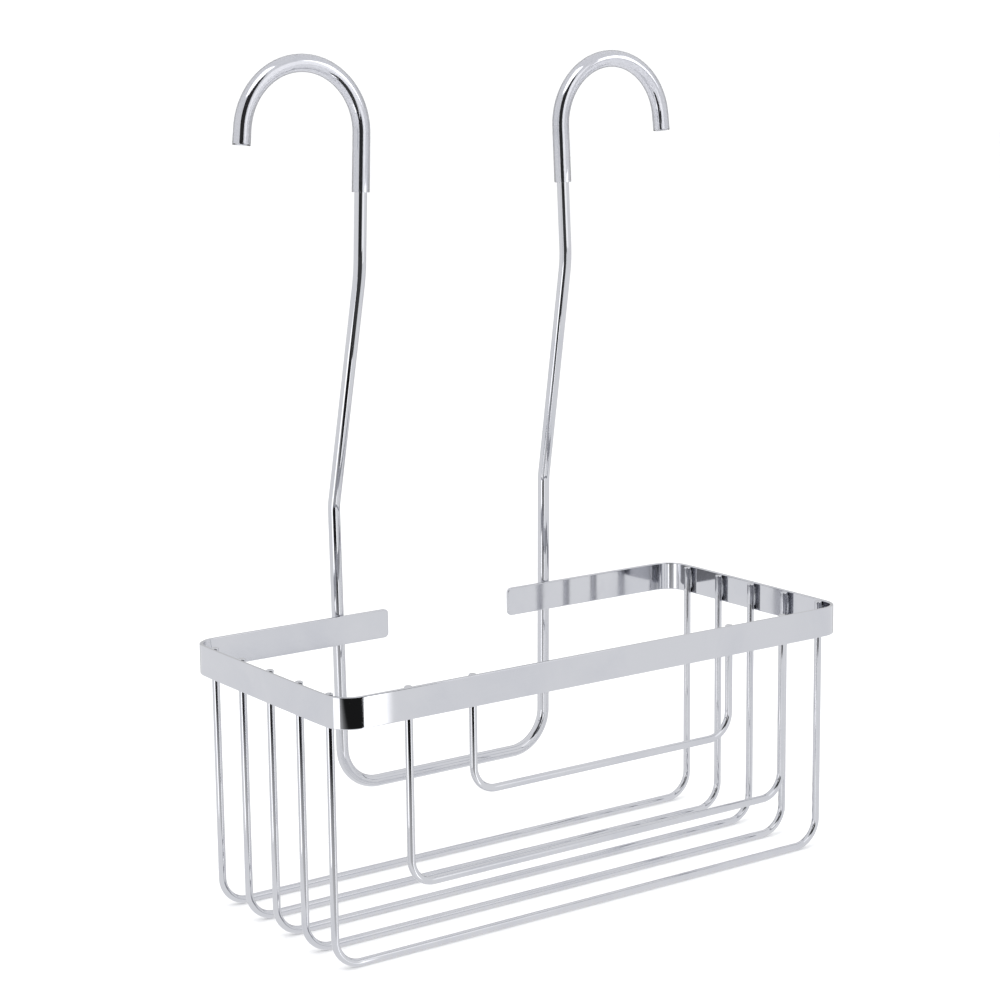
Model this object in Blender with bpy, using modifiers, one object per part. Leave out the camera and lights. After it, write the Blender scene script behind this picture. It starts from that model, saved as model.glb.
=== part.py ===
"""Shower caddy that hangs from the two inlets of a wall mixer.

A wire basket hangs from one bent rod. The flat rim of the basket is a strip bent into an oblong that is
open in the middle of its rear side. Five U-shaped wires run lengthwise under it, and two nested U-shaped
wires close the front. The rod is bent into a U behind the basket; its two uprights lean forward over a
kink and end in hooks that turn outwards, each with a clear sleeve so that it doesn't scratch the mixer.

Units are metres. X runs along the basket, +Y points to the wall and +Z up. The origin is on the surface
that the basket stands on, in the middle of the caddy's outline as seen from above.
"""

import math

import bmesh
import bpy
from mathutils import Matrix, Vector

# Rim: a flat strip on edge, bent into an oblong
BASKET_LENGTH = 0.245  # along X, over the rim
BASKET_WIDTH = 0.112  # along Y, over the rim
BASKET_HEIGHT = 0.1065  # from the underside of the wires to the rim's top edge
RIM_HEIGHT = 0.012
RIM_THICKNESS = 0.0015
RIM_CORNER_RADIUS = 0.010  # outer face, seen from above
RIM_GAP = 0.061  # between the two ends of the strip
RIM_END_RADIUS = 0.002  # rounding of the strip's cut ends

# Basket wires: U shapes side by side, welded inside the short sides of the rim
WIRE_DIAMETER = 0.003
WIRE_COUNT = 5
WIRE_BEND_RADIUS = 0.011  # at the wire's centre line
WIRE_PROUD = 0.0007  # how far the cut ends stand above the rim
FRONT_WIRE_INSET = 0.0123  # front face of the rim to the centre of the front wire
REAR_WIRE_INSET = 0.0147  # rear face of the rim to the centre of the rear wire

# Guard wires: two nested U shapes, welded inside the front of the rim
GUARD_BEND_RADIUS = 0.010
OUTER_GUARD_INSET = 0.0315  # end face of the rim to the centre of the upright
OUTER_GUARD_HEIGHT = 0.030  # centre of the bottom run above the base
INNER_GUARD_INSET = 0.060
INNER_GUARD_HEIGHT = 0.0605

# Hanger rod: heights are stacked on the rim, so the hooks rise with the basket
ROD_DIAMETER = 0.005
HANGER_BASE_HEIGHT = 0.0325  # centre of the bottom run above the base
HANGER_BASE_SPACING = 0.103  # between the uprights' centres at the bottom run
HANGER_LOW_SPACING = 0.106  # at the lower end of the kink
HANGER_HIGH_SPACING = 0.1014  # at the upper end of the kink
HOOK_ROOT_SPACING = 0.097  # where the hooks begin
KINK_ABOVE_RIM = 0.0455  # rim's top edge to the lower end of the kink
KINK_RISE = 0.0955
KINK_FORWARD = 0.020  # how far the kink brings the uprights away from the wall
HOOK_ROOT_RISE = 0.0545  # upper end of the kink to the hooks' roots
HANGER_BASE_BEND_RADIUS = 0.017
KINK_LOW_BEND_RADIUS = 0.015
KINK_HIGH_BEND_RADIUS = 0.030

# Hooks
HOOK_RADIUS = 0.0265  # at the rod's centre line
HOOK_TIP_SPLAY = math.radians(6)  # the tips point this far outwards from straight down
HOOK_TIP_LENGTH = 0.0063  # straight end after the arc

# Sleeves on the hooks
SLEEVE_WALL = 0.0007
SLEEVE_CLEARANCE = 0.0003  # round the rod
SLEEVE_BELOW_ROOT = 0.0225  # how far the sleeve runs down the upright
SLEEVE_OVERHANG = 0.0003  # past the end of the rod

# Gap left between welded pieces, so that each stays a solid of its own
WELD_GAP = 0.0003

# Fineness of the curves
ARC_STEP = math.radians(15)
RIM_ARC_STEPS = 8
RIM_END_SEGMENTS = 4
WIRE_BEVEL_RESOLUTION = 2
ROD_BEVEL_RESOLUTION = 4

# Finishes: base colour, roughness, metallic, alpha
CHROME = ((0.78, 0.78, 0.80), 0.08, 1.0, 1.0)
CLEAR_PLASTIC = ((0.82, 0.83, 0.87), 0.20, 0.0, 0.4)

# Places that follow from the sizes above
WIRE_RADIUS = WIRE_DIAMETER / 2
ROD_RADIUS = ROD_DIAMETER / 2
RIM_MIDDLE_Y = -(WELD_GAP + ROD_DIAMETER) / 2
RIM_FRONT_Y = RIM_MIDDLE_Y - BASKET_WIDTH / 2
RIM_REAR_Y = RIM_MIDDLE_Y + BASKET_WIDTH / 2
WIRE_END_X = BASKET_LENGTH / 2 - RIM_THICKNESS - WELD_GAP - WIRE_RADIUS
WIRE_TOP_Z = BASKET_HEIGHT + WIRE_PROUD
GUARD_Y = RIM_FRONT_Y + RIM_THICKNESS + WELD_GAP + WIRE_RADIUS
HANGER_REAR_Y = RIM_REAR_Y + WELD_GAP + ROD_RADIUS
HANGER_FRONT_Y = HANGER_REAR_Y - KINK_FORWARD
KINK_LOW_Z = BASKET_HEIGHT + KINK_ABOVE_RIM
KINK_HIGH_Z = KINK_LOW_Z + KINK_RISE
HOOK_ROOT_Z = KINK_HIGH_Z + HOOK_ROOT_RISE


def clear_scene():
    """Remove the objects of the startup scene."""
    for obj in list(bpy.data.objects):
        bpy.data.objects.remove(obj)


def finish(obj, look):
    """Give an object its own material."""
    colour, roughness, metallic, alpha = look
    material = bpy.data.materials.new(obj.name + "_finish")
    material.use_nodes = True
    shader = material.node_tree.nodes["Principled BSDF"]
    shader.inputs["Base Color"].default_value = (*colour, 1.0)
    shader.inputs["Roughness"].default_value = roughness
    shader.inputs["Metallic"].default_value = metallic
    shader.inputs["Alpha"].default_value = alpha
    obj.data.materials.append(material)


def arc(centre, start, axis, angle):
    """Points on the arc that turns start round the centre by the angle, both ends included."""
    steps = max(2, math.ceil(abs(angle) / ARC_STEP))
    offset = start - centre
    return [centre + Matrix.Rotation(angle * i / steps, 3, axis) @ offset for i in range(steps + 1)]


def bend(before, corner, after, radius):
    """Points of the arc that rounds a corner between two straight runs."""
    back = (before - corner).normalized()
    ahead = (after - corner).normalized()
    half = back.angle(ahead) / 2
    reach = radius / math.tan(half)
    centre = corner + (back + ahead).normalized() * (radius / math.sin(half))
    return arc(centre, corner + back * reach, back.cross(ahead).normalized(), 2 * half - math.pi)


def bent_path(corners, radii):
    """Points of a path through the corners, each inner corner rounded to its radius."""
    points = [corners[0]]
    for i, radius in enumerate(radii, start=1):
        points += bend(corners[i - 1], corners[i], corners[i + 1], radius)
    points.append(corners[-1])
    return points


def tube_curve(name, points, radius, resolution, collection):
    """A curve object along the points, with a round section."""
    curve = bpy.data.curves.new(name, "CURVE")
    curve.dimensions = "3D"
    curve.bevel_depth = radius
    curve.bevel_resolution = resolution
    spline = curve.splines.new("POLY")
    spline.points.add(len(points) - 1)
    for point, place in zip(spline.points, points):
        point.co = (*place, 1.0)
    obj = bpy.data.objects.new(name, curve)
    collection.objects.link(obj)
    return obj


def make_wire(name, points, radius, resolution, collection):
    """A solid wire or rod along the points."""
    obj = tube_curve(name, points, radius, resolution, collection)
    obj.data.use_fill_caps = True
    finish(obj, CHROME)
    return obj


def u_corners(half_length, y, bottom_z):
    """Corners of a U in an X-Z plane, from the top of its left upright to the top of its right one."""
    return [
        Vector((-half_length, y, WIRE_TOP_Z)),
        Vector((-half_length, y, bottom_z)),
        Vector((half_length, y, bottom_z)),
        Vector((half_length, y, WIRE_TOP_Z)),
    ]


def corner_arc(centre, radius, quarter):
    """Points of one rounded corner of the rim, seen from above; quarter 0 starts along +X."""
    points = []
    for i in range(RIM_ARC_STEPS + 1):
        angle = (quarter + i / RIM_ARC_STEPS) * math.pi / 2
        points.append((centre[0] + radius * math.cos(angle), centre[1] + radius * math.sin(angle)))
    return points


def rim_face(inset):
    """One face of the strip seen from above, from the right end of the gap round the front to the left."""
    radius = RIM_CORNER_RADIUS - inset
    x = BASKET_LENGTH / 2 - RIM_CORNER_RADIUS
    front = RIM_FRONT_Y + RIM_CORNER_RADIUS
    rear = RIM_REAR_Y - RIM_CORNER_RADIUS
    points = [(RIM_GAP / 2, RIM_REAR_Y - inset)]
    points += corner_arc((x, rear), radius, 0)[::-1]
    points += corner_arc((x, front), radius, 3)[::-1]
    points += corner_arc((-x, front), radius, 2)[::-1]
    points += corner_arc((-x, rear), radius, 1)[::-1]
    points.append((-RIM_GAP / 2, RIM_REAR_Y - inset))
    return points


def is_strip_end_corner(edge):
    """Whether an edge crosses the strip's thickness at one of its cut ends."""
    a, b = (vert.co for vert in edge.verts)
    at_end = all(abs(abs(co.x) - RIM_GAP / 2) < WELD_GAP and co.y > RIM_MIDDLE_Y for co in (a, b))
    return at_end and abs(a.z - b.z) < WELD_GAP


def make_rim(collection):
    """The flat strip: its outline from above, raised to its height, with rounded cut ends."""
    mesh = bpy.data.meshes.new("rim_band")
    bm = bmesh.new()
    outline = rim_face(0) + rim_face(RIM_THICKNESS)[::-1]
    bottom = BASKET_HEIGHT - RIM_HEIGHT
    face = bm.faces.new([bm.verts.new((x, y, bottom)) for x, y in outline])
    raised = bmesh.ops.extrude_face_region(bm, geom=[face])
    top = [item for item in raised["geom"] if isinstance(item, bmesh.types.BMVert)]
    bmesh.ops.translate(bm, verts=top, vec=(0, 0, RIM_HEIGHT))
    corners = [edge for edge in bm.edges if is_strip_end_corner(edge)]
    bmesh.ops.bevel(
        bm, geom=corners, offset=RIM_END_RADIUS, segments=RIM_END_SEGMENTS, profile=0.5, affect="EDGES"
    )
    bmesh.ops.recalc_face_normals(bm, faces=bm.faces)
    bm.to_mesh(mesh)
    bm.free()
    mesh.shade_smooth()
    mesh.set_sharp_from_angle(angle=math.radians(30))
    obj = bpy.data.objects.new("rim_band", mesh)
    collection.objects.link(obj)
    finish(obj, CHROME)


def make_basket_wires(collection):
    """The lengthwise wires, numbered from the rear one to the front one."""
    rear = RIM_REAR_Y - REAR_WIRE_INSET
    front = RIM_FRONT_Y + FRONT_WIRE_INSET
    for i in range(WIRE_COUNT):
        y = rear + (front - rear) * i / (WIRE_COUNT - 1)
        corners = u_corners(WIRE_END_X, y, WIRE_RADIUS)
        points = bent_path(corners, [WIRE_BEND_RADIUS] * 2)
        make_wire(f"basket_wire_{i + 1}", points, WIRE_RADIUS, WIRE_BEVEL_RESOLUTION, collection)


def make_guard_wire(name, inset, height, collection):
    """One of the nested wires across the front."""
    corners = u_corners(BASKET_LENGTH / 2 - inset, GUARD_Y, height)
    points = bent_path(corners, [GUARD_BEND_RADIUS] * 2)
    make_wire(name, points, WIRE_RADIUS, WIRE_BEVEL_RESOLUTION, collection)


def upright_corners(side):
    """Corners of one upright from the bottom run to the hook's root; side is -1 or 1."""
    return [
        Vector((side * HANGER_BASE_SPACING / 2, HANGER_REAR_Y, HANGER_BASE_HEIGHT)),
        Vector((side * HANGER_LOW_SPACING / 2, HANGER_REAR_Y, KINK_LOW_Z)),
        Vector((side * HANGER_HIGH_SPACING / 2, HANGER_FRONT_Y, KINK_HIGH_Z)),
        Vector((side * HOOK_ROOT_SPACING / 2, HANGER_FRONT_Y, HOOK_ROOT_Z)),
    ]


def hook_points(side, overhang=0.0):
    """Points of one hook from its root to its tip; the arc leaves the upright without a corner."""
    high, root = upright_corners(side)[2:]
    rise = (root - high).normalized()
    outward = Vector((side * rise.z, 0, -side * rise.x))
    lean = math.atan2(-side * rise.x, rise.z)
    sweep = math.pi + lean - HOOK_TIP_SPLAY
    points = arc(root + outward * HOOK_RADIUS, root, Vector((0, 1, 0)), side * sweep)
    down = Vector((side * math.sin(HOOK_TIP_SPLAY), 0, -math.cos(HOOK_TIP_SPLAY)))
    points.append(points[-1] + down * (HOOK_TIP_LENGTH + overhang))
    return points


def make_hanger(collection):
    """The rod, from the tip of the left hook down round the bottom run to the tip of the right one."""
    corners = upright_corners(-1)[::-1] + upright_corners(1)
    side_radii = [KINK_HIGH_BEND_RADIUS, KINK_LOW_BEND_RADIUS, HANGER_BASE_BEND_RADIUS]
    middle = bent_path(corners, side_radii + side_radii[::-1])
    points = hook_points(-1)[:0:-1] + middle + hook_points(1)[1:]
    make_wire("hanger_rod", points, ROD_RADIUS, ROD_BEVEL_RESOLUTION, collection)


def make_sleeve(name, side, collection):
    """The thin clear tube on one hook, from part way down the upright to the tip."""
    high, root = upright_corners(side)[2:]
    start = root + (high - root).normalized() * SLEEVE_BELOW_ROOT
    points = [start] + hook_points(side, SLEEVE_OVERHANG)
    radius = ROD_RADIUS + SLEEVE_CLEARANCE + SLEEVE_WALL
    obj = tube_curve(name, points, radius, ROD_BEVEL_RESOLUTION, collection)
    wall = obj.modifiers.new("wall", "SOLIDIFY")
    wall.thickness = SLEEVE_WALL
    wall.offset = -1
    wall.use_even_offset = True
    finish(obj, CLEAR_PLASTIC)


def main():
    clear_scene()
    collection = bpy.data.collections.new("shower_caddy")
    bpy.context.scene.collection.children.link(collection)
    make_rim(collection)
    make_basket_wires(collection)
    make_guard_wire("guard_wire_outer", OUTER_GUARD_INSET, OUTER_GUARD_HEIGHT, collection)
    make_guard_wire("guard_wire_inner", INNER_GUARD_INSET, INNER_GUARD_HEIGHT, collection)
    make_hanger(collection)
    make_sleeve("hook_sleeve_left", -1, collection)
    make_sleeve("hook_sleeve_right", 1, collection)


main()
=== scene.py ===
"""Shower caddy: a chromed wire basket that hangs from the inlets of a wall mixer.

The file is laid out as an add-on. Property groups hold the sizes and colours, one operator
makes each group of like pieces, and one more makes the studio. Units are metres, +Z is up and
+Y points to the wall.
"""

import math

import bmesh
import bpy
from bpy.props import FloatProperty, FloatVectorProperty, IntProperty, PointerProperty
from mathutils import Matrix, Vector


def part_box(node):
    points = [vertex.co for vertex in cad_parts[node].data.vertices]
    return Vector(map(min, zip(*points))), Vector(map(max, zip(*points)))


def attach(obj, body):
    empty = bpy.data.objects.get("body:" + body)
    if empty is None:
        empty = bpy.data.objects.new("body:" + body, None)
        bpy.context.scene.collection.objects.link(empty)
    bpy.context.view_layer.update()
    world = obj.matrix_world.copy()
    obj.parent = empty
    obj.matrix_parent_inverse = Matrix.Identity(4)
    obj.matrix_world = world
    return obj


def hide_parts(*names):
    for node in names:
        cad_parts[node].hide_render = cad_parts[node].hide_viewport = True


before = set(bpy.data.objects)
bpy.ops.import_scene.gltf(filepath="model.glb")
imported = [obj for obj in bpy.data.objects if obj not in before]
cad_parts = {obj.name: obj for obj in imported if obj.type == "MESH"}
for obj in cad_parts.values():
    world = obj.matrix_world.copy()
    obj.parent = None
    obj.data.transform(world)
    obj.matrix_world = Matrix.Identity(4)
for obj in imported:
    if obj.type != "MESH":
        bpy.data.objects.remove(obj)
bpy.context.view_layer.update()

bl_info = {
    "name": "Shower caddy",
    "version": (1, 0, 0),
    "blender": (4, 5, 0),
    "location": "3D View > Sidebar > Caddy",
    "description": "Makes a chromed wire caddy with two hooks, and the studio it stands in",
    "category": "Add Mesh",
}

BODY = "root"
WIRE_COUNT = 5
SIDES = (-1, 1)  # left and right
TURN_STEP = math.radians(3)  # how finely bends are divided
LEAD_STEPS = 8  # lines that divide each slight bow beside a corner
EDGE_STEPS = 4  # faces across a rolled or rounded edge
END_STEPS = 10  # faces round the corners of the strip's cut ends
SAME_SPOT = 1e-7  # vertices nearer than this are one
ON_CUT = 1e-8  # vertices nearer to a cut than this lie on it
FLOOR_RADIUS = 9.0

# How finely the plating's grain repeats along X, Y and Z, per metre
STRIP_GRAIN = (14.0, 14.0, 5200.0)
WIRE_GRAIN = (700.0, 700.0, 700.0)
ROD_GRAIN = (900.0, 900.0, 60.0)
WELD_GRAIN = (500.0, 500.0, 500.0)

# Places that the frame gives
RIM_LO, RIM_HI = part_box("rim_band")
ROD_LO, ROD_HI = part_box("hanger_rod")


def length(name, description, default, smallest=0.0, largest=1.0):
    """A length property in metres."""
    return FloatProperty(
        name=name,
        description=description,
        default=default,
        min=smallest,
        max=largest,
        subtype="DISTANCE",
        unit="LENGTH",
        precision=5,
    )


def turn(name, description, degrees):
    """An angle property."""
    return FloatProperty(
        name=name,
        description=description,
        default=math.radians(degrees),
        subtype="ANGLE",
        unit="ROTATION",
    )


def share(name, description, default, largest=1.0):
    """A plain number from zero up."""
    return FloatProperty(name=name, description=description, default=default, min=0.0, max=largest)


def colour(name, description, default):
    """A linear colour property."""
    return FloatVectorProperty(
        name=name,
        description=description,
        default=default,
        size=3,
        min=0.0,
        max=1.0,
        subtype="COLOR",
    )


class CaddyRimSettings(bpy.types.PropertyGroup):
    thickness: length("Strip thickness", "Thickness of the flat strip", 0.0015)
    corner_radius: length("Corner radius", "Outer radius of the rim's corners", 0.010)
    gap: length("Rear gap", "Distance between the two cut ends of the strip", 0.061)
    end_radius: length("End radius", "Rounding of the cut ends' corners", 0.002)
    edge_radius: length("Edge radius", "Rolled edge of the strip", 0.00035)
    lead_length: length("Lead-in length", "Length of the bow on each side of a bend", 0.0130)
    lead_angle: turn("Lead-in angle", "Share of the bend that the bow takes", 2.6)


class CaddyWireSettings(bpy.types.PropertyGroup):
    diameter: length("Wire diameter", "Diameter of the basket and guard wires", 0.003)
    floor_bend: length("Floor bend", "Bend radius of the basket wires at their centre line", 0.011)
    guard_bend: length("Guard bend", "Bend radius of the guard wires at their centre line", 0.010)
    end_radius: length("End radius", "Rounding of the cut ends", 0.0005)
    top_drop: length("Top drop", "From the top of the node's box to the wire's end", 0.0009)
    sides: IntProperty(name="Sides", description="Faces round a wire", default=32, min=12, max=64)


class CaddyHangerSettings(bpy.types.PropertyGroup):
    diameter: length("Rod diameter", "Diameter of the hanger rod", 0.005)
    base_spacing: length("Base spacing", "Between the uprights at the bottom run", 0.103)
    low_spacing: length("Lower kink spacing", "Between the uprights at the lower kink", 0.106)
    high_spacing: length("Upper kink spacing", "Between the uprights at the upper kink", 0.1014)
    root_spacing: length("Hook spacing", "Between the uprights where the hooks begin", 0.097)
    kink_above_rim: length("Kink height", "From the rim's top edge to the lower kink", 0.0455)
    kink_rise: length("Kink rise", "Height between the two kinks", 0.0955)
    root_rise: length("Hook root rise", "From the upper kink to the hooks' roots", 0.0544)
    base_bend: length("Base bend", "Bend radius of the bottom corners", 0.017)
    low_bend: length("Lower kink bend", "Bend radius of the lower kink", 0.022)
    high_bend: length("Upper kink bend", "Bend radius of the upper kink", 0.050)
    hook_radius: length("Hook radius", "Radius of the hooks at the centre line", 0.0265)
    tip_splay: turn("Tip splay", "How far the tips point outwards from straight down", 6)
    tip_length: length("Tip length", "Straight end of each hook", 0.0063)
    end_radius: length("End radius", "Rounding of the cut ends", 0.0005)
    sides: IntProperty(name="Sides", description="Faces round the rod", default=48, min=12, max=96)


class CaddySleeveSettings(bpy.types.PropertyGroup):
    wall: length("Wall", "Wall thickness of the clear sleeves", 0.0010)
    grip: length("Grip", "How far the sleeve's bore stands inside the rod's surface", 0.00005)
    below_root: length("Run on the upright", "How far a sleeve runs down the upright", 0.0225)
    overhang: length("Overhang", "How far a sleeve passes the rod's tip", 0.0003)
    edge_radius: length("Edge radius", "Softened cut edge", 0.00012)


class CaddyWeldSettings(bpy.types.PropertyGroup):
    run: length("Weld length", "Length of a weld along its wire", 0.0085)
    width: length("Weld width", "Width of a weld beside its wire", 0.0020)
    depth: length("Weld depth", "Depth of a weld between its wire and the rim", 0.0011)
    rod_width: length("Rod weld width", "Width of a weld beside the rod", 0.0027)
    rod_depth: length("Rod weld depth", "Depth of a weld between the rod and the rim", 0.00132)
    ripple: share("Ripple", "How uneven a weld is along its length", 0.05)


class CaddyFinishSettings(bpy.types.PropertyGroup):
    chrome: colour("Chrome", "Colour of the plating", (0.565, 0.570, 0.598))
    shade: colour("Chrome shade", "Plating where it is filmed over", (0.520, 0.528, 0.565))
    chrome_roughness: share("Chrome roughness", "Roughness of clean plating", 0.035)
    film_roughness: share("Film roughness", "Added roughness under fingermarks", 0.07)
    weld: colour("Weld", "Colour of the plating over the welds", (0.500, 0.505, 0.525))
    weld_roughness: share("Weld roughness", "Roughness of the plating over the welds", 0.12)
    sleeve: colour("Sleeve", "Tint of the clear plastic", (0.955, 0.955, 0.972))
    sleeve_roughness: share("Sleeve roughness", "Roughness of the clear plastic", 0.02)


class CaddyStageSettings(bpy.types.PropertyGroup):
    floor: colour("Floor", "Colour of the floor", (0.95, 0.95, 0.955))
    surround: colour("Surround", "Colour of the light tent", (0.985, 0.99, 1.0))
    surround_level: share("Surround level", "Brightness of the light tent", 1.1, largest=10.0)
    lens: FloatProperty(
        name="Lens",
        description="Focal length",
        default=86.49,
        min=10.0,
        max=300.0,
        subtype="DISTANCE_CAMERA",
    )
    distance: length("Distance", "From the aim point to the camera", 0.9524, 0.1, 10.0)
    aim_side: length("Aim to the side", "X of the aim point", -0.0118, smallest=-1.0)
    aim_height: length("Aim height", "Z of the aim point", 0.1581)
    azimuth: turn("Azimuth", "Direction of the camera round the caddy", -35.29)
    elevation: turn("Elevation", "Height of the camera above the horizon", 10.61)
    roll: turn("Roll", "Tilt of the camera", -0.653)


# Shader nodes


class Link:
    """A node's output that adds Math nodes when it is used in an expression."""

    def __init__(self, sheet, socket):
        self.sheet = sheet
        self.socket = socket

    def _math(self, operation, first, second):
        return self.sheet.node("ShaderNodeMath", {"operation": operation}, {0: first, 1: second})

    def __add__(self, other):
        return self._math("ADD", self, other)

    def __radd__(self, other):
        return self._math("ADD", other, self)

    def __sub__(self, other):
        return self._math("SUBTRACT", self, other)

    def __rsub__(self, other):
        return self._math("SUBTRACT", other, self)

    def __mul__(self, other):
        return self._math("MULTIPLY", self, other)

    def __rmul__(self, other):
        return self._math("MULTIPLY", other, self)

    def __truediv__(self, other):
        return self._math("DIVIDE", self, other)

    def __rtruediv__(self, other):
        return self._math("DIVIDE", other, self)


class Sheet:
    """The node tree of one material or world."""

    def __init__(self, owner):
        owner.use_nodes = True
        self.tree = owner.node_tree
        self.tree.nodes.clear()

    def node(self, kind, settings, inputs, output=0):
        """Add a node: its settings first, then the values or links of its sockets."""
        node = self.tree.nodes.new(kind)
        for key, value in settings.items():
            if key == "stops":
                self._set_stops(node.color_ramp, value)
            else:
                setattr(node, key, value)
        for key, value in inputs.items():
            self.fill(node.inputs[key], value)
        return Link(self, node.outputs[output]) if node.outputs else None

    def fill(self, socket, value):
        """Link a socket, or set its value."""
        if isinstance(value, Link):
            self.tree.links.new(value.socket, socket)
        elif socket.type == "RGBA" and len(value) == 3:
            socket.default_value = (*value, 1.0)
        else:
            socket.default_value = value

    @staticmethod
    def _set_stops(ramp, stops):
        """Put the stops of a ramp from black to white at the given places."""
        while len(ramp.elements) < len(stops):
            ramp.elements.new(1.0)
        for element, (place, level) in zip(ramp.elements, stops):
            element.position = place
            element.color = (level, level, level, 1.0)

    def mix(self, factor, first, second):
        """A colour between two others."""
        settings = {"data_type": "RGBA"}
        return self.node("ShaderNodeMix", settings, {"Factor": factor, 6: first, 7: second}, 2)

    def noise(self, place, scale, detail=2.0, roughness=0.5, distortion=0.0):
        """Fractal noise at a place."""
        values = {
            "Vector": place,
            "Scale": scale,
            "Detail": detail,
            "Roughness": roughness,
            "Distortion": distortion,
        }
        return self.node("ShaderNodeTexNoise", {}, values)

    def ramp(self, value, *stops):
        """The value passed through a ramp."""
        return self.node("ShaderNodeValToRGB", {"stops": stops}, {"Fac": value})

    def place(self, stretch=(1.0, 1.0, 1.0)):
        """Object coordinates, stretched."""
        spot = self.node("ShaderNodeTexCoord", {}, {}, "Object")
        return self.node("ShaderNodeMapping", {}, {"Vector": spot, "Scale": stretch})

    def bump(self, height, distance, strength):
        """A normal from a height."""
        values = {"Height": height, "Distance": distance, "Strength": strength}
        return self.node("ShaderNodeBump", {}, values)

    def finish(self, inputs):
        """The surface shader and the output."""
        surface = self.node("ShaderNodeBsdfPrincipled", {}, inputs)
        self.node("ShaderNodeOutputMaterial", {}, {"Surface": surface})


def chrome_material(name, look, grain, wave, weld=False):
    """Bright plating: drawn grain, a soft film of water marks, and a slow wave in its surface."""
    material = bpy.data.materials.new(name)
    sheet = Sheet(material)
    if weld:
        clean, roughness, film = look.weld, look.weld_roughness, look.weld_roughness
    else:
        clean, roughness, film = look.chrome, look.chrome_roughness, look.film_roughness
    spot = sheet.place()
    drawn = sheet.place(grain)
    smears = sheet.noise(spot, scale=34.0, detail=4.0, roughness=0.55, distortion=0.6)
    cloud = sheet.ramp(smears, (0.42, 0.0), (0.72, 1.0))
    lines = sheet.noise(drawn, scale=1.0, detail=3.0, roughness=0.6)
    cells = {"Vector": spot, "Scale": 210.0}
    drops = sheet.node("ShaderNodeTexVoronoi", {"feature": "F1"}, cells, "Distance")
    specks = sheet.ramp(drops, (0.04, 1.0), (0.10, 0.0))
    marks = specks * sheet.ramp(sheet.noise(spot, scale=55.0, detail=2.0), (0.56, 0.0), (0.64, 1.0))
    slow = sheet.noise(spot, scale=26.0, detail=1.0, roughness=0.4)
    height = lines * 0.012 + slow * wave + marks * 0.03
    sheet.finish(
        {
            "Base Color": sheet.mix(cloud * 0.75 + lines * 0.25, tuple(clean), tuple(look.shade)),
            "Metallic": 1.0,
            "Roughness": cloud * film + lines * 0.015 + marks * 0.12 + roughness,
            "Normal": sheet.bump(height, distance=0.0004, strength=0.35),
        }
    )
    return material


def sleeve_material(look):
    """Clear soft plastic: faint cloudiness, extrusion waves and handling marks."""
    material = bpy.data.materials.new("clear_sleeve_plastic")
    sheet = Sheet(material)
    spot = sheet.place()
    cloud = sheet.noise(spot, scale=120.0, detail=3.0, roughness=0.6)
    rings = sheet.noise(sheet.place((160.0, 160.0, 900.0)), scale=1.0, detail=2.0, roughness=0.5)
    rubs = sheet.ramp(rings, (0.5, 0.0), (0.8, 1.0))
    tint = tuple(look.sleeve)
    dusk = tuple(channel * 0.95 for channel in tint)
    sheet.finish(
        {
            "Base Color": sheet.mix(cloud, tint, dusk),
            "Metallic": 0.0,
            "Roughness": cloud * 0.02 + rubs * 0.03 + look.sleeve_roughness,
            "IOR": 1.5,
            "Transmission Weight": 1.0,
            "Normal": sheet.bump(cloud * 0.6 + rubs * 0.4, distance=0.00008, strength=0.08),
        }
    )
    return material


def floor_material(stage):
    """Matt pale floor with a trace of grain."""
    material = bpy.data.materials.new("studio_floor")
    sheet = Sheet(material)
    grain = sheet.noise(sheet.place(), scale=90.0, detail=3.0, roughness=0.6)
    pale = tuple(stage.floor)
    worn = tuple(channel * 0.985 for channel in pale)
    sheet.finish(
        {
            "Base Color": sheet.mix(grain, pale, worn),
            "Roughness": grain * 0.1 + 0.75,
        }
    )
    return material


def card_material(name, level, axis, reach, stops):
    """Glow of a reflector card or a dark flag, shaded along one axis between two places."""
    material = bpy.data.materials.new(name)
    sheet = Sheet(material)
    spot = sheet.node("ShaderNodeSeparateXYZ", {}, {"Vector": sheet.place()}, axis)
    share_along = (spot - reach[0]) / (reach[1] - reach[0])
    sheet.finish(
        {
            "Base Color": (0.0, 0.0, 0.0),
            "Roughness": 1.0,
            "Specular IOR Level": 0.0,
            "Emission Color": sheet.ramp(share_along, *stops),
            "Emission Strength": level,
        }
    )
    return material


# Mesh tools


def faces_of(geometry):
    """The faces in a list of mesh elements."""
    return [item for item in geometry if isinstance(item, bmesh.types.BMFace)]


def verts_of(geometry):
    """The vertices in a list of mesh elements."""
    return [item for item in geometry if isinstance(item, bmesh.types.BMVert)]


def make_piece(bm, name, material, stands_for=()):
    """Turn a bmesh into a piece that rides on the body; the bmesh is freed."""
    if not bm.faces:
        raise RuntimeError(f"{name} came out empty")
    bmesh.ops.remove_doubles(bm, verts=bm.verts, dist=SAME_SPOT)
    mesh = bpy.data.meshes.new(name)
    for face in bm.faces:
        face.smooth = True
    bm.to_mesh(mesh)
    bm.free()
    mesh.materials.append(material)
    piece = bpy.data.objects.new(name, mesh)
    bpy.context.scene.collection.objects.link(piece)
    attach(piece, BODY)
    if stands_for:
        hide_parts(*stands_for)
    return piece


def bend_at(before, corner, after, radius):
    """Where a bend starts, its centre, its axis and its angle."""
    back = (before - corner).normalized()
    ahead = (after - corner).normalized()
    half = back.angle(ahead) / 2
    start = corner + back * (radius / math.tan(half))
    centre = corner + (back + ahead).normalized() * (radius / math.sin(half))
    return start, centre, ahead.cross(back).normalized(), math.pi - 2 * half


def roll_edges(bm, edges, radius):
    """Round the given edges."""
    bmesh.ops.bevel(
        bm,
        geom=edges,
        offset=radius,
        segments=EDGE_STEPS,
        profile=0.5,
        affect="EDGES",
        material=-1,
    )


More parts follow.
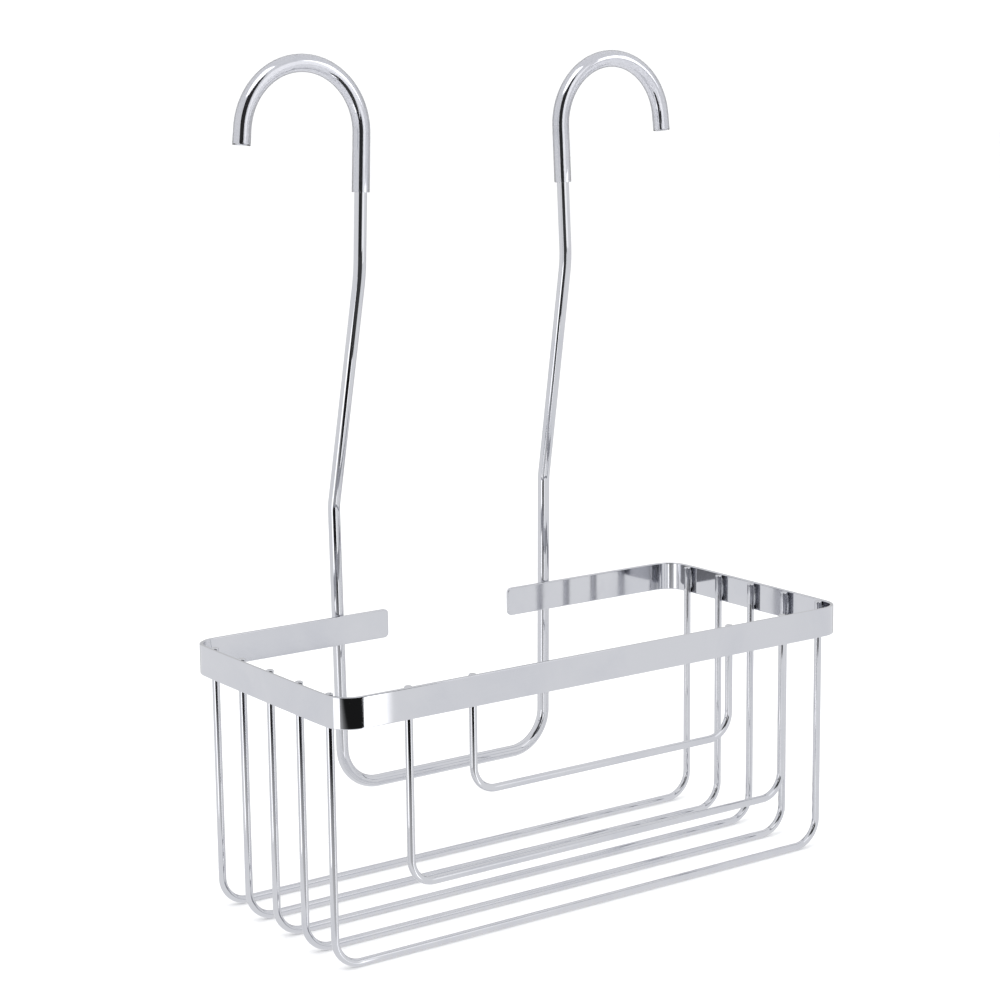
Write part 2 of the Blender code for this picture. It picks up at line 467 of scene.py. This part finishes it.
class Bender:
    """Round bar, fed straight and bent round pins like stock in a wire bender."""

    def __init__(self, start, ahead, radius, sides):
        self.mesh = bmesh.new()
        self.tip = start.copy()
        square = ahead.to_track_quat("Z", "Y").to_matrix().to_4x4()
        place = Matrix.Translation(start) @ square
        bmesh.ops.create_circle(
            self.mesh, cap_ends=True, segments=sides, radius=radius, matrix=place
        )
        self.end = self.mesh.faces[:]

    def feed(self, to):
        """Push the bar straight on to a place."""
        passed = [face for face in self.end if len(face.edges[0].link_faces) > 1]
        made = bmesh.ops.extrude_face_region(self.mesh, geom=self.end)["geom"]
        bmesh.ops.delete(self.mesh, geom=passed, context="FACES_ONLY")
        bmesh.ops.translate(self.mesh, verts=verts_of(made), vec=to - self.tip)
        self.end = faces_of(made)
        self.tip = to.copy()

    def bend(self, centre, axis, angle):
        """Bend the bar round a pin."""
        face = self.end[0]
        made = bmesh.ops.spin(
            self.mesh,
            geom=[face, *face.edges, *face.verts],
            cent=centre,
            axis=axis,
            angle=angle,
            steps=max(2, math.ceil(abs(angle) / TURN_STEP)),
            use_duplicate=False,
        )
        self.end = faces_of(made["geom_last"])
        self.tip = centre + Matrix.Rotation(angle, 3, axis) @ (self.tip - centre)

    def follow(self, corners, radii):
        """Feed and bend through the corners, each inner one rounded to its radius."""
        for i, radius in enumerate(radii, start=1):
            start, centre, axis, angle = bend_at(*corners[i - 1 : i + 2], radius)
            self.feed(start)
            self.bend(centre, axis, angle)
        self.feed(corners[-1])

    def caps(self):
        """The two faces that close the bar's ends."""
        return [face for face in self.mesh.faces if len(face.verts) > 4]

    def round_ends(self, radius):
        """Round the cut ends and make the faces point outwards."""
        roll_edges(self.mesh, [edge for face in self.caps() for edge in face.edges], radius)
        bmesh.ops.recalc_face_normals(self.mesh, faces=self.mesh.faces)
        return self.mesh


# Caddy pieces


def bow(bm, flat, side, start, radius, angle):
    """Bend the part of the strip past a line; flat holds each vertex's place along the strip."""
    centre = Vector((side * start, RIM_LO.y + radius, 0))
    for vert in bm.verts:
        past = side * flat[vert] - start
        if past > 0:
            along = min(past, radius * angle)
            spun = Matrix.Rotation(side * along / radius, 3, "Z")
            vert.co = centre + spun @ (vert.co - Vector((side * along, 0, 0)) - centre)


def make_rim(look, size):
    """The flat strip: cut to length, its ends and edges rounded, then bent round four corners."""
    height = RIM_HI.z - RIM_LO.z
    quarter = math.pi / 2
    lead = size.lead_angle
    main_angle = quarter - 2 * lead
    lead_radius = size.lead_length / lead
    main_radius = size.corner_radius
    main_run = main_radius * main_angle
    reach = corner_reach(main_radius, lead, size.lead_length)
    corner_x = RIM_HI.x - reach
    side_run = (RIM_HI.y - RIM_LO.y) - 2 * reach
    corner_run = main_run + 2 * size.lead_length
    rear_run = corner_x - size.gap / 2
    half = corner_x + corner_run + side_run + corner_run + rear_run

    bm = bmesh.new()
    bmesh.ops.create_grid(bm, x_segments=1, y_segments=1, size=0.5)
    bmesh.ops.scale(bm, verts=bm.verts, vec=(2 * half, height, 1))
    upright = Matrix.Rotation(quarter, 3, "X")
    bmesh.ops.rotate(bm, verts=bm.verts, cent=(0, 0, 0), matrix=upright)
    bmesh.ops.translate(bm, verts=bm.verts, vec=(0, RIM_LO.y, (RIM_LO.z + RIM_HI.z) / 2))
    bmesh.ops.bevel(
        bm,
        geom=bm.verts,
        offset=size.end_radius,
        segments=END_STEPS,
        profile=0.5,
        affect="VERTICES",
        material=-1,
    )
    raised = bmesh.ops.extrude_face_region(bm, geom=bm.faces[:])["geom"]
    bmesh.ops.translate(bm, verts=verts_of(raised), vec=(0, size.thickness, 0))
    middle_y = RIM_LO.y + size.thickness / 2
    outline = [
        edge
        for edge in bm.edges
        if (edge.verts[0].co.y < middle_y) == (edge.verts[1].co.y < middle_y)
    ]
    roll_edges(bm, outline, size.edge_radius)
    flats = [face for face in bm.faces if len(face.verts) > 4]
    bmesh.ops.inset_region(bm, faces=flats, thickness=size.edge_radius / 3)

    stops = [corner_x, corner_x + corner_run + side_run]
    steps = math.ceil(main_angle / TURN_STEP)
    for stop in stops:
        bend = stop + size.lead_length
        last = bend + main_run
        lines = [stop + size.lead_length * i / LEAD_STEPS for i in range(LEAD_STEPS + 1)]
        lines += [bend + main_run * i / steps for i in range(1, steps + 1)]
        lines += [last + size.lead_length * i / LEAD_STEPS for i in range(1, LEAD_STEPS + 1)]
        for side in SIDES:
            for line in lines:
                bmesh.ops.bisect_plane(
                    bm,
                    geom=bm.verts[:] + bm.edges[:] + bm.faces[:],
                    dist=ON_CUT,
                    plane_co=(side * line, 0, 0),
                    plane_no=(1, 0, 0),
                )
    flat = {vert: vert.co.x for vert in bm.verts}
    for stop in reversed(stops):
        for side in SIDES:
            bend = stop + size.lead_length
            bow(bm, flat, side, bend + main_run, lead_radius, lead)
            bow(bm, flat, side, bend, main_radius, main_angle)
            bow(bm, flat, side, stop, lead_radius, lead)
    bmesh.ops.recalc_face_normals(bm, faces=bm.faces)
    material = chrome_material("rim_chrome", look, STRIP_GRAIN, wave=0.10)
    make_piece(bm, "rim_strip", material, ("rim_band",))


def corner_reach(radius, lead, lead_length):
    """How far a whole corner, two bows and the main bend, reaches along each side it joins."""
    lead_radius = lead_length / lead
    rest = math.pi / 2 - lead  # the heading where the second bow begins
    return (
        lead_radius * math.sin(lead)
        + radius * (math.sin(rest) - math.sin(lead))
        + lead_radius * (1 - math.sin(rest))
    )


def u_bar(half, y, bottom, top, bend, size):
    """A wire bent to a U in an X-Z plane, with rounded ends."""
    corners = [
        Vector((-half, y, top)),
        Vector((-half, y, bottom)),
        Vector((half, y, bottom)),
        Vector((half, y, top)),
    ]
    bar = Bender(corners[0], Vector((0, 0, -1)), size.diameter / 2, size.sides)
    bar.follow(corners, [bend] * 2)
    return bar.round_ends(size.end_radius)


def wire_line(node, size):
    """Half length, Y, bottom and top of a U wire's centre line, from its node's box."""
    lo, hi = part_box(node)
    half = (hi.x - lo.x - size.diameter) / 2
    return half, (lo.y + hi.y) / 2, lo.z + size.diameter / 2, hi.z - size.top_drop


def upright_corners(side, size):
    """Corners of one upright from the bottom run to the hook's root."""
    radius = size.diameter / 2
    rear, front = ROD_HI.y - radius, ROD_LO.y + radius
    low = RIM_HI.z + size.kink_above_rim
    high = low + size.kink_rise
    return [
        Vector((side * size.base_spacing / 2, rear, ROD_LO.z + radius)),
        Vector((side * size.low_spacing / 2, rear, low)),
        Vector((side * size.high_spacing / 2, front, high)),
        Vector((side * size.root_spacing / 2, front, high + size.root_rise)),
    ]


def hook_bend(side, size):
    """Centre, axis and angle of one hook's bend, going up from its root."""
    high, root = upright_corners(side, size)[2:]
    rise = (root - high).normalized()
    outward = Vector((side * rise.z, 0, -side * rise.x))
    lean = math.atan2(-side * rise.x, rise.z)
    return root + outward * size.hook_radius, Vector((0, side, 0)), math.pi + lean - size.tip_splay


def tip_heading(side, size):
    """Where the end of a hook points."""
    return Vector((side * math.sin(size.tip_splay), 0, -math.cos(size.tip_splay)))


def add_hook(bar, side, size, overhang=0.0):
    """Bend the bar over the hook, from its root to its tip."""
    bar.bend(*hook_bend(side, size))
    bar.feed(bar.tip + tip_heading(side, size) * (size.tip_length + overhang))


def add_bead(bm, centre, across, size, ripple):
    """A weld between two bars: a flattened nugget, drawn out along them, with a slight ripple."""
    waves, bluntness = 2.5, 0.6
    made = bmesh.ops.create_uvsphere(bm, u_segments=20, v_segments=14, radius=0.5)["verts"]
    for vert in made:
        place = vert.co
        swell = 1 + ripple * math.cos(math.tau * waves * place.z)
        place.x, place.y = place.x * size[0] * swell, place.y * size[1] * swell
        stretched = math.copysign(abs(2 * place.z) ** bluntness, place.z)
        place.z = stretched * size[2] / 2
    square = across.to_track_quat("X", "Z").to_matrix().to_4x4()
    bmesh.ops.transform(bm, matrix=Matrix.Translation(centre) @ square, verts=made)


# Studio

MIDDLE = Vector((0, 0, 0.16))  # where the lights point

# Shading of the cards: places from 0 to 1 along a card, each with its share of the card's level
EVEN = ((0.0, 1.0), (1.0, 1.0))
RISING_SHADE = (
    (0.05, 1.0),
    (0.20, 0.8),
    (0.325, 0.55),
    (0.39, 0.25),
    (0.45, 0.02),
    (0.62, 0.02),
    (0.72, 0.09),
)
FADING_RIGHT = ((0.0, 1.0), (0.6, 0.85), (1.0, 0.38))


def aim_vector(azimuth, elevation):
    """Unit vector towards a direction; azimuth 0 is in front of the caddy and 90 to its right."""
    flat = math.cos(elevation)
    return Vector((math.sin(azimuth) * flat, -math.cos(azimuth) * flat, math.sin(elevation)))


def add_card(name, centre, facing, width, height, level, axis="Z", stops=EVEN):
    """A flat card or flag that only reflections see; the stops shade it along an axis."""
    bm = bmesh.new()
    bmesh.ops.create_grid(bm, x_segments=1, y_segments=1, size=0.5)
    bmesh.ops.scale(bm, verts=bm.verts, vec=(width, height, 1))
    square = facing.to_track_quat("Z", "Y").to_matrix().to_4x4()
    bmesh.ops.transform(bm, matrix=Matrix.Translation(centre) @ square, verts=bm.verts)
    mesh = bpy.data.meshes.new(name)
    bm.to_mesh(mesh)
    bm.free()
    places = [getattr(vert.co, axis.lower()) for vert in mesh.vertices]
    reach = (min(places), max(places))
    mesh.materials.append(card_material(name + "_glow", level, axis, reach, stops))
    card = bpy.data.objects.new(name, mesh)
    bpy.context.scene.collection.objects.link(card)
    card.visible_camera = card.visible_diffuse = card.visible_shadow = False


def add_softbox(name, centre, size, power):
    """A square area light that points at the caddy."""
    data = bpy.data.lights.new(name, "AREA")
    data.shape = "SQUARE"
    data.size = size
    data.energy = power
    lamp = bpy.data.objects.new(name, data)
    bpy.context.scene.collection.objects.link(lamp)
    lamp.location = centre
    lamp.rotation_mode = "QUATERNION"
    lamp.rotation_quaternion = (MIDDLE - centre).to_track_quat("-Z", "Y")
    lamp.visible_camera = lamp.visible_glossy = False


def make_camera(stage):
    """The camera, aimed at the middle of the caddy."""
    data = bpy.data.cameras.new("camera")
    data.lens = stage.lens
    data.sensor_width = 36.0
    camera = bpy.data.objects.new("camera", data)
    bpy.context.scene.collection.objects.link(camera)
    back = aim_vector(stage.azimuth, stage.elevation)
    target = Vector((stage.aim_side, (RIM_LO.y + RIM_HI.y) / 2, stage.aim_height))
    camera.location = target + back * stage.distance
    level = (-back).to_track_quat("-Z", "Y").to_matrix()
    camera.rotation_mode = "QUATERNION"
    camera.rotation_quaternion = (Matrix.Rotation(stage.roll, 3, back) @ level).to_quaternion()
    bpy.context.scene.camera = camera


def make_world(stage):
    """Even light from all round, as inside a white tent."""
    world = bpy.data.worlds.new("light_tent")
    bpy.context.scene.world = world
    sheet = Sheet(world)
    values = {"Color": tuple(stage.surround), "Strength": stage.surround_level}
    glow = sheet.node("ShaderNodeBackground", {}, values)
    sheet.node("ShaderNodeOutputWorld", {}, {"Surface": glow})


# Operators


class CADDY_OT_rim(bpy.types.Operator):
    """Make the flat rim of the basket"""

    bl_idname = "caddy.rim"
    bl_label = "Rim strip"

    def execute(self, context):
        scene = context.scene
        make_rim(scene.caddy_finish, scene.caddy_rim)
        return {"FINISHED"}


class CADDY_OT_wires(bpy.types.Operator):
    """Make the lengthwise wires of the basket and the guard wires across its front"""

    bl_idname = "caddy.wires"
    bl_label = "Basket and guard wires"

    def execute(self, context):
        size, look = context.scene.caddy_wires, context.scene.caddy_finish
        material = chrome_material("wire_chrome", look, WIRE_GRAIN, wave=0.05)
        bends = {f"basket_wire_{i + 1}": size.floor_bend for i in range(WIRE_COUNT)}
        bends |= {"guard_wire_outer": size.guard_bend, "guard_wire_inner": size.guard_bend}
        for node, bend in bends.items():
            bar = u_bar(*wire_line(node, size), bend, size)
            make_piece(bar, node + "_bar", material, (node,))
        return {"FINISHED"}


class CADDY_OT_hanger(bpy.types.Operator):
    """Make the rod that carries the basket and ends in two hooks"""

    bl_idname = "caddy.hanger"
    bl_label = "Hanger rod"

    def execute(self, context):
        size, look = context.scene.caddy_hanger, context.scene.caddy_finish
        left, right = upright_corners(-1, size), upright_corners(1, size)
        centre, axis, angle = hook_bend(-1, size)
        tip = centre + Matrix.Rotation(angle, 3, axis) @ (left[-1] - centre)
        down = tip_heading(-1, size)
        bar = Bender(tip + down * size.tip_length, -down, size.diameter / 2, size.sides)
        bar.feed(tip)
        bar.bend(centre, axis, -angle)
        bends = [size.high_bend, size.low_bend, size.base_bend]
        bar.follow(left[::-1] + right, bends + bends[::-1])
        add_hook(bar, 1, size)
        material = chrome_material("rod_chrome", look, ROD_GRAIN, wave=0.05)
        rounded = bar.round_ends(size.end_radius)
        make_piece(rounded, "hanger_bar", material, ("hanger_rod",))
        return {"FINISHED"}


class CADDY_OT_sleeves(bpy.types.Operator):
    """Make the clear sleeves on the hooks"""

    bl_idname = "caddy.sleeves"
    bl_label = "Hook sleeves"

    def execute(self, context):
        scene = context.scene
        size, rod = scene.caddy_sleeves, scene.caddy_hanger
        material = sleeve_material(scene.caddy_finish)
        for side, word in zip(SIDES, ("left", "right")):
            high, root = upright_corners(side, rod)[2:]
            down = (high - root).normalized()
            start = root + down * size.below_root
            tube = Bender(start, -down, rod.diameter / 2 + size.wall, rod.sides)
            tube.feed(root)
            add_hook(tube, side, rod, size.overhang)
            bmesh.ops.recalc_face_normals(tube.mesh, faces=tube.mesh.faces)
            bmesh.ops.delete(tube.mesh, geom=tube.caps(), context="FACES_ONLY")
            name, node = f"clear_sleeve_{word}", f"hook_sleeve_{word}"
            piece = make_piece(tube.mesh, name, material, (node,))
            wall = piece.modifiers.new("wall", "SOLIDIFY")
            wall.thickness = size.wall + size.grip
            wall.offset = -1
            wall.use_even_offset = True
            edge = piece.modifiers.new("cut_edge", "BEVEL")
            edge.width = size.edge_radius
            edge.segments = 2
            edge.limit_method = "ANGLE"
            edge.angle_limit = math.radians(60)
        return {"FINISHED"}


class CADDY_OT_welds(bpy.types.Operator):
    """Make the welds that join the wires and the hanger to the rim"""

    bl_idname = "caddy.welds"
    bl_label = "Welds"

    def execute(self, context):
        scene = context.scene
        size, look = scene.caddy_welds, scene.caddy_finish
        wires, rim, rod = scene.caddy_wires, scene.caddy_rim, scene.caddy_hanger
        middle = (RIM_LO.z + RIM_HI.z) / 2
        nugget = (size.depth, size.width, size.run)
        bm = bmesh.new()
        for i in range(WIRE_COUNT):
            half, y = wire_line(f"basket_wire_{i + 1}", wires)[:2]
            seam = (RIM_HI.x - rim.thickness + half + wires.diameter / 2) / 2
            for side in SIDES:
                spot = Vector((side * seam, y, middle))
                add_bead(bm, spot, Vector((side, 0, 0)), nugget, size.ripple)
        for node in ("guard_wire_outer", "guard_wire_inner"):
            half, y = wire_line(node, wires)[:2]
            seam = (RIM_LO.y + rim.thickness + y - wires.diameter / 2) / 2
            for side in SIDES:
                spot = Vector((side * half, seam, middle))
                add_bead(bm, spot, Vector((0, -1, 0)), nugget, size.ripple)
        rod_nugget = (size.rod_depth, size.rod_width, size.run)
        seam = (RIM_HI.y + ROD_HI.y - rod.diameter) / 2
        for side in SIDES:
            base, low = upright_corners(side, rod)[:2]
            spot = base.lerp(low, (middle - base.z) / (low.z - base.z))
            spot.y = seam
            add_bead(bm, spot, Vector((0, 1, 0)), rod_nugget, size.ripple)
        material = chrome_material("weld_chrome", look, WELD_GRAIN, wave=0.3, weld=True)
        bmesh.ops.recalc_face_normals(bm, faces=bm.faces)
        make_piece(bm, "rim_welds", material)
        return {"FINISHED"}


class CADDY_OT_stage(bpy.types.Operator):
    """Make the floor, the light and the camera"""

    bl_idname = "caddy.stage"
    bl_label = "Studio"

    def execute(self, context):
        stage = context.scene.caddy_stage
        context.scene.view_settings.view_transform = "Standard"
        bm = bmesh.new()
        bmesh.ops.create_circle(bm, cap_ends=True, segments=96, radius=FLOOR_RADIUS)
        mesh = bpy.data.meshes.new("studio_floor")
        bm.to_mesh(mesh)
        bm.free()
        mesh.materials.append(floor_material(stage))
        floor = bpy.data.objects.new("studio_floor", mesh)
        context.scene.collection.objects.link(floor)
        floor.visible_glossy = False
        make_world(stage)
        add_softbox("top_softbox", Vector((-0.7, -0.2, 1.7)), size=1.2, power=9.0)
        add_softbox("side_softbox", Vector((1.4, -1.2, 1.0)), size=1.0, power=6.0)
        self.set_cards()
        make_camera(stage)
        return {"FINISHED"}

    @staticmethod
    def set_cards():
        """The flags and cards that draw the dark and white lines along the chrome."""
        inward, right = Vector((0, 1, 0)), Vector((1, 0, 0))
        add_card(
            "front_flag",
            Vector((-0.236, -0.16, 0.07)),
            inward,
            width=0.348,
            height=0.20,
            level=0.75,
            stops=RISING_SHADE,
        )
        add_card(
            "right_card",
            Vector((-0.04825, -0.162, 0.03)),
            inward,
            width=0.0285,
            height=0.16,
            level=3.0,
            axis="X",
            stops=FADING_RIGHT,
        )
        add_card(
            "upper_flag",
            Vector((-0.205, -0.163, 0.175)),
            inward,
            width=0.39,
            height=0.13,
            level=0.07,
        )
        add_card(
            "left_card",
            Vector((-0.42, -0.085, 0.03)),
            right,
            width=0.16,
            height=0.16,
            level=2.2,
        )
        add_card(
            "hook_card",
            Vector((0.11, -0.35, 0.38)),
            inward,
            width=0.26,
            height=0.36,
            level=1.55,
        )
        back = aim_vector(math.radians(-37), 0.0)
        add_card(
            "camera_flag",
            back * 1.2 + Vector((0, 0, 0.935)),
            -back,
            width=1.4,
            height=1.93,
            level=0.04,
        )
        behind = aim_vector(math.radians(143), math.radians(-8))
        add_card(
            "rear_card",
            MIDDLE + behind * 1.3,
            -behind,
            width=2.2,
            height=1.6,
            level=0.75,
        )


class CADDY_PT_sidebar(bpy.types.Panel):
    """Lists the operators that make the caddy"""

    bl_idname = "CADDY_PT_sidebar"
    bl_label = "Shower caddy"
    bl_space_type = "VIEW_3D"
    bl_region_type = "UI"
    bl_category = "Caddy"

    def draw(self, context):
        for operator in OPERATORS:
            self.layout.operator(operator.bl_idname)


OPERATORS = (
    CADDY_OT_stage,
    CADDY_OT_rim,
    CADDY_OT_wires,
    CADDY_OT_hanger,
    CADDY_OT_sleeves,
    CADDY_OT_welds,
)
SETTINGS = {
    "caddy_rim": CaddyRimSettings,
    "caddy_wires": CaddyWireSettings,
    "caddy_hanger": CaddyHangerSettings,
    "caddy_sleeves": CaddySleeveSettings,
    "caddy_welds": CaddyWeldSettings,
    "caddy_finish": CaddyFinishSettings,
    "caddy_stage": CaddyStageSettings,
}


def register():
    for group in SETTINGS.values():
        bpy.utils.register_class(group)
    for name, group in SETTINGS.items():
        setattr(bpy.types.Scene, name, PointerProperty(type=group))
    for item in (*OPERATORS, CADDY_PT_sidebar):
        bpy.utils.register_class(item)


def unregister():
    for item in (CADDY_PT_sidebar, *reversed(OPERATORS)):
        bpy.utils.unregister_class(item)
    for name in SETTINGS:
        delattr(bpy.types.Scene, name)
    for group in SETTINGS.values():
        bpy.utils.unregister_class(group)


def main():
    register()
    bpy.ops.caddy.stage()
    bpy.ops.caddy.rim()
    bpy.ops.caddy.wires()
    bpy.ops.caddy.hanger()
    bpy.ops.caddy.sleeves()
    bpy.ops.caddy.welds()


if __name__ == "__main__":
    main()
